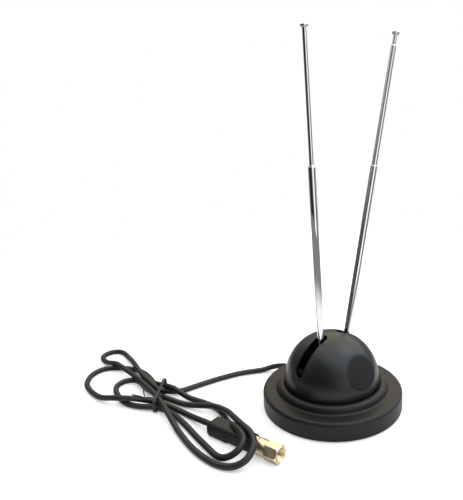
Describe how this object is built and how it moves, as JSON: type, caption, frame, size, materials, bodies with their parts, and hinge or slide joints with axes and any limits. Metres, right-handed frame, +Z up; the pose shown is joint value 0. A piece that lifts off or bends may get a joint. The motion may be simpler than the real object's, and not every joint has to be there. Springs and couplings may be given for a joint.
{
  "type": "indoor tv antenna",
  "caption": "Indoor television antenna with a weighted round base, a slotted dome, two pivoting telescopic rods and a tied coaxial lead with a screw-on plug.",
  "frame": {"origin": "centre of the round base on the table", "axes": "+Z up; X along the plane both rods swing in, +X towards the rod shown leaning; -Y is the side with the round flat, and the lead leaves at +Y"},
  "size_m": [0.201, 0.2449, 0.2577],
  "materials": {
    "black_plastic": "fine matte, moulded",
    "dark_plastic": "matte",
    "foam_pad": "soft closed-cell pad",
    "cast_weight": "as cast",
    "zinc_screw": "zinc plated",
    "satin_plastic": "satin, moulded",
    "zinc_steel": "zinc plated sheet",
    "nickel_brass": "nickel plated",
    "spring_steel": "spring steel",
    "board": "green board",
    "ferrite": "sintered",
    "enamelled_copper": "enamelled wire",
    "red_wire": "wire jacket",
    "black_wire": "wire jacket",
    "white_wire": "foam insulation",
    "copper_braid": "braid",
    "natural_plastic": "moulded",
    "black_rubber": "matte",
    "black_jacket": "satin jacket",
    "tie_plastic": "satin",
    "moulded_boot": "moulded, slightly grained",
    "gold_metal": "gold flash plating",
    "white_insulator": "smooth",
    "copper_pin": "bare copper",
    "brass_lug": "turned",
    "chrome_tube": "bright chrome",
    "bronze_spring": "phosphor bronze",
    "chrome_tip": "bright chrome"
  },
  "bodies": {
    "stand": {"base_cover": "black_plastic", "base_plate": "dark_plastic", "foot_pad": "foam_pad", "ring_weight": "cast_weight", "case_screws": "zinc_screw", "dome": "satin_plastic", "dome_screws": "zinc_screw", "left_bracket": "zinc_steel", "right_bracket": "zinc_steel", "bracket_screws": "zinc_screw", "left_pivot_pin": "nickel_brass", "right_pivot_pin": "nickel_brass", "left_spring_washer": "spring_steel", "right_spring_washer": "spring_steel", "balun_board": "board", "board_screws": "zinc_screw", "balun_core": "ferrite", "balun_winding": "enamelled_copper", "left_wire": "red_wire", "right_wire": "black_wire", "core_wire": "white_wire", "shield_wire": "copper_braid", "lead_clamp": "natural_plastic", "lead_grommet": "black_rubber", "lead": "black_jacket", "lead_tie": "tie_plastic", "tie_ends": "tie_plastic", "plug_boot": "moulded_boot", "plug_body": "gold_metal", "plug_insulator": "white_insulator", "plug_pin": "copper_pin"},
    "left_arm": {"left_lug": "brass_lug", "left_outer_tube": "chrome_tube"},
    "left_middle": {"left_middle_tube": "chrome_tube", "left_middle_sleeve": "bronze_spring"},
    "left_inner": {"left_inner_tube": "chrome_tube", "left_inner_sleeve": "bronze_spring", "left_tip": "chrome_tip"},
    "right_arm": {"right_lug": "brass_lug", "right_outer_tube": "chrome_tube"},
    "right_middle": {"right_middle_tube": "chrome_tube", "right_middle_sleeve": "bronze_spring"},
    "right_inner": {"right_inner_tube": "chrome_tube", "right_inner_sleeve": "bronze_spring", "right_tip": "chrome_tip"},
    "nut": {"plug_nut": "gold_metal"}
  },
  "joints": [
    {"name": "left_swing", "type": "hinge", "parent": "stand", "child": "left_arm", "pos_m": [-0.0086, 0, 0.02], "axis": [0, 1, 0], "range_deg": [-54.8, 2.2]},
    {"name": "left_middle_slide", "type": "slide", "parent": "left_arm", "child": "left_middle", "axis": [-0.0384, 0, 0.9993], "range_m": [0, 0.118]},
    {"name": "left_inner_slide", "type": "slide", "parent": "left_middle", "child": "left_inner", "axis": [-0.0384, 0, 0.9993], "range_m": [-0.081, 0.035]},
    {"name": "right_swing", "type": "hinge", "parent": "stand", "child": "right_arm", "pos_m": [0.0086, 0, 0.02], "axis": [0, 1, 0], "range_deg": [-13.5, 43.5]},
    {"name": "right_middle_slide", "type": "slide", "parent": "right_arm", "child": "right_middle", "axis": [0.2334, 0, 0.9724], "range_m": [-0.082, 0.036]},
    {"name": "right_inner_slide", "type": "slide", "parent": "right_middle", "child": "right_inner", "axis": [0.2334, 0, 0.9724], "range_m": [-0.007, 0.109]},
    {"name": "plug_nut_turn", "type": "hinge", "parent": "stand", "child": "nut", "pos_m": [-0.071, -0.03, 0.0055], "axis": [0.2588, -0.9659, 0], "continuous": true}
  ]
}
